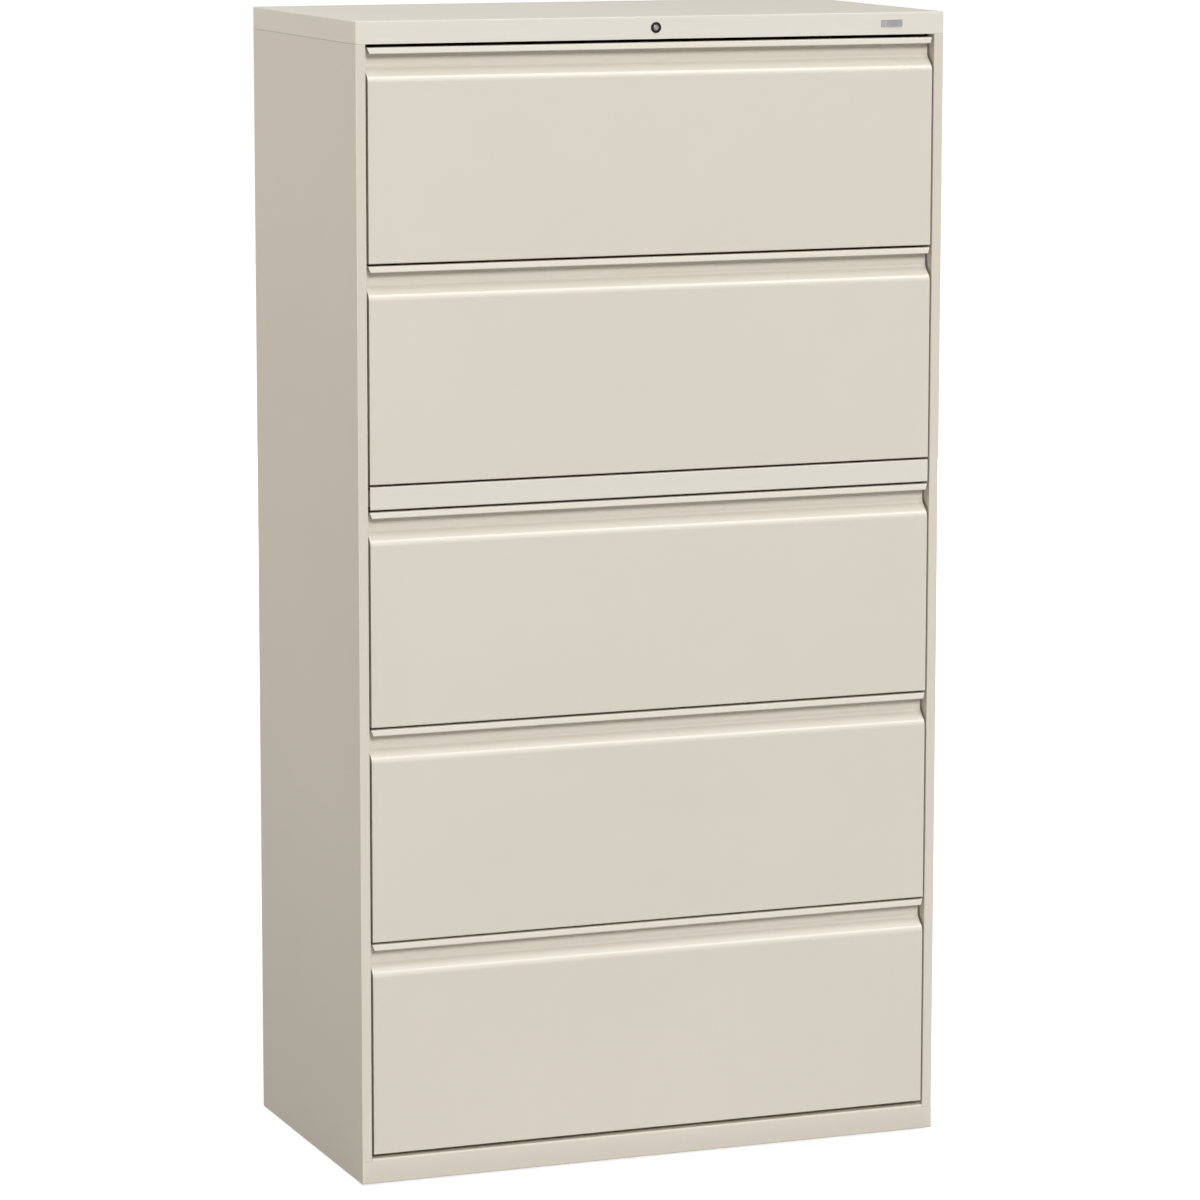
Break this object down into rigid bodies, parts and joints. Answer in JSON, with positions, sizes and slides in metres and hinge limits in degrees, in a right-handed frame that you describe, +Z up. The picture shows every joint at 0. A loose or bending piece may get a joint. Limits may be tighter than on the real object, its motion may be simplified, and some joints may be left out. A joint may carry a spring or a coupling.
{
  "type": "lateral filing cabinet",
  "caption": "Tall steel lateral file: stacked wide drawers with full-width folded pulls, a pull-out posting shelf between them, a lock in the top cap and screw feet.",
  "frame": {"origin": "on the floor under the middle of the case", "axes": "+Z up, the drawers open towards -Y, +X to the right of someone facing the drawers"},
  "size_m": [0.9144, 0.489, 1.702],
  "materials": {
    "case_paint": "satin putty enamel",
    "drawer_paint": "satin putty enamel, inside",
    "zinc_plate": "bright zinc plate",
    "dark_steel": "dark oxide",
    "lock_nickel": "nickel plate",
    "glide_nylon": "moulded nylon"
  },
  "bodies": {
    "case": {"case_side_left": "case_paint", "case_side_right": "case_paint", "back_panel": "case_paint", "top_cap": "case_paint", "base_front_rail": "case_paint", "base_pan": "case_paint", "counterweight": "dark_steel", "lock_housing": "dark_steel", "lock_link_guide_inner": "zinc_plate", "lock_link_guide_outer": "zinc_plate", "upright_front_left": "zinc_plate", "upright_front_right": "zinc_plate", "upright_rear_left": "zinc_plate", "upright_rear_right": "zinc_plate", "posting_shelf_track_left": "zinc_plate", "posting_shelf_track_right": "zinc_plate", "slide_case_member_left_1": "zinc_plate", "slide_case_member_right_1": "zinc_plate", "slide_case_member_left_2": "zinc_plate", "slide_case_member_right_2": "zinc_plate", "slide_case_member_left_3": "zinc_plate", "slide_case_member_right_3": "zinc_plate", "slide_case_member_left_4": "zinc_plate", "slide_case_member_right_4": "zinc_plate", "slide_case_member_left_5": "zinc_plate", "slide_case_member_right_5": "zinc_plate"},
    "drawer_1": {"drawer_front_1": "case_paint", "drawer_box_1": "drawer_paint", "hang_rail_1": "zinc_plate"},
    "slide_pair_1": {"slide_middle_member_left_1": "zinc_plate", "slide_middle_member_right_1": "zinc_plate"},
    "drawer_2": {"drawer_front_2": "case_paint", "drawer_box_2": "drawer_paint", "hang_rail_2": "zinc_plate"},
    "slide_pair_2": {"slide_middle_member_left_2": "zinc_plate", "slide_middle_member_right_2": "zinc_plate"},
    "drawer_3": {"drawer_front_3": "case_paint", "drawer_box_3": "drawer_paint", "hang_rail_3": "zinc_plate"},
    "slide_pair_3": {"slide_middle_member_left_3": "zinc_plate", "slide_middle_member_right_3": "zinc_plate"},
    "drawer_4": {"drawer_front_4": "case_paint", "drawer_box_4": "drawer_paint", "hang_rail_4": "zinc_plate"},
    "slide_pair_4": {"slide_middle_member_left_4": "zinc_plate", "slide_middle_member_right_4": "zinc_plate"},
    "drawer_5": {"drawer_front_5": "case_paint", "drawer_box_5": "drawer_paint", "hang_rail_5": "zinc_plate"},
    "slide_pair_5": {"slide_middle_member_left_5": "zinc_plate", "slide_middle_member_right_5": "zinc_plate"},
    "posting_shelf": {"posting_shelf": "case_paint"},
    "lock_plug": {"lock_plug": "lock_nickel", "lock_cam": "dark_steel"},
    "lock_link": {"lock_link": "zinc_plate"},
    "lock_bar": {"lock_bar": "zinc_plate"},
    "levelling_glide_front_left": {"levelling_glide_front_left": "glide_nylon"},
    "levelling_glide_front_right": {"levelling_glide_front_right": "glide_nylon"},
    "levelling_glide_rear_left": {"levelling_glide_rear_left": "glide_nylon"},
    "levelling_glide_rear_right": {"levelling_glide_rear_right": "glide_nylon"}
  },
  "joints": [
    {"name": "drawer_1_slide", "type": "slide", "parent": "case", "child": "drawer_1", "axis": [0, -1, 0], "range_m": [0, 0.4]},
    {"name": "slide_pair_1_slide", "type": "slide", "parent": "case", "child": "slide_pair_1", "axis": [0, -1, 0], "range_m": [0, 0.2]},
    {"name": "drawer_2_slide", "type": "slide", "parent": "case", "child": "drawer_2", "axis": [0, -1, 0], "range_m": [0, 0.4]},
    {"name": "slide_pair_2_slide", "type": "slide", "parent": "case", "child": "slide_pair_2", "axis": [0, -1, 0], "range_m": [0, 0.2]},
    {"name": "drawer_3_slide", "type": "slide", "parent": "case", "child": "drawer_3", "axis": [0, -1, 0], "range_m": [0, 0.4]},
    {"name": "slide_pair_3_slide", "type": "slide", "parent": "case", "child": "slide_pair_3", "axis": [0, -1, 0], "range_m": [0, 0.2]},
    {"name": "drawer_4_slide", "type": "slide", "parent": "case", "child": "drawer_4", "axis": [0, -1, 0], "range_m": [0, 0.4]},
    {"name": "slide_pair_4_slide", "type": "slide", "parent": "case", "child": "slide_pair_4", "axis": [0, -1, 0], "range_m": [0, 0.2]},
    {"name": "drawer_5_slide", "type": "slide", "parent": "case", "child": "drawer_5", "axis": [0, -1, 0], "range_m": [0, 0.4]},
    {"name": "slide_pair_5_slide", "type": "slide", "parent": "case", "child": "slide_pair_5", "axis": [0, -1, 0], "range_m": [0, 0.2]},
    {"name": "posting_shelf_slide", "type": "slide", "parent": "case", "child": "posting_shelf", "axis": [0, -1, 0], "range_m": [0, 0.28]},
    {"name": "lock_turn", "type": "hinge", "parent": "case", "child": "lock_plug", "pos_m": [0, -0.2445, 1.6856], "axis": [0, -1, 0], "range_deg": [0, 90]},
    {"name": "lock_link_slide", "type": "slide", "parent": "case", "child": "lock_link", "axis": [1, 0, 0], "range_m": [0, 0.01415]},
    {"name": "lock_bar_slide", "type": "slide", "parent": "case", "child": "lock_bar", "axis": [0, 0, 1], "range_m": [0, 0.007]},
    {"name": "levelling_glide_front_left_screw", "type": "slide", "parent": "case", "child": "levelling_glide_front_left", "axis": [0, 0, -1], "range_m": [0, 0.012]},
    {"name": "levelling_glide_front_right_screw", "type": "slide", "parent": "case", "child": "levelling_glide_front_right", "axis": [0, 0, -1], "range_m": [0, 0.012]},
    {"name": "levelling_glide_rear_left_screw", "type": "slide", "parent": "case", "child": "levelling_glide_rear_left", "axis": [0, 0, -1], "range_m": [0, 0.012]},
    {"name": "levelling_glide_rear_right_screw", "type": "slide", "parent": "case", "child": "levelling_glide_rear_right", "axis": [0, 0, -1], "range_m": [0, 0.012]}
  ],
  "couplings": [
    {"joint": "slide_pair_1_slide", "follows": "drawer_1_slide", "ratio": 0.5},
    {"joint": "slide_pair_2_slide", "follows": "drawer_2_slide", "ratio": 0.5},
    {"joint": "slide_pair_3_slide", "follows": "drawer_3_slide", "ratio": 0.5},
    {"joint": "slide_pair_4_slide", "follows": "drawer_4_slide", "ratio": 0.5},
    {"joint": "slide_pair_5_slide", "follows": "drawer_5_slide", "ratio": 0.5},
    {"joint": "lock_link_slide", "follows": "lock_bar_slide", "ratio": 2.02},
    {"joint": "lock_turn", "follows": "lock_bar_slide", "rad_per_m": 224.3}
  ]
}
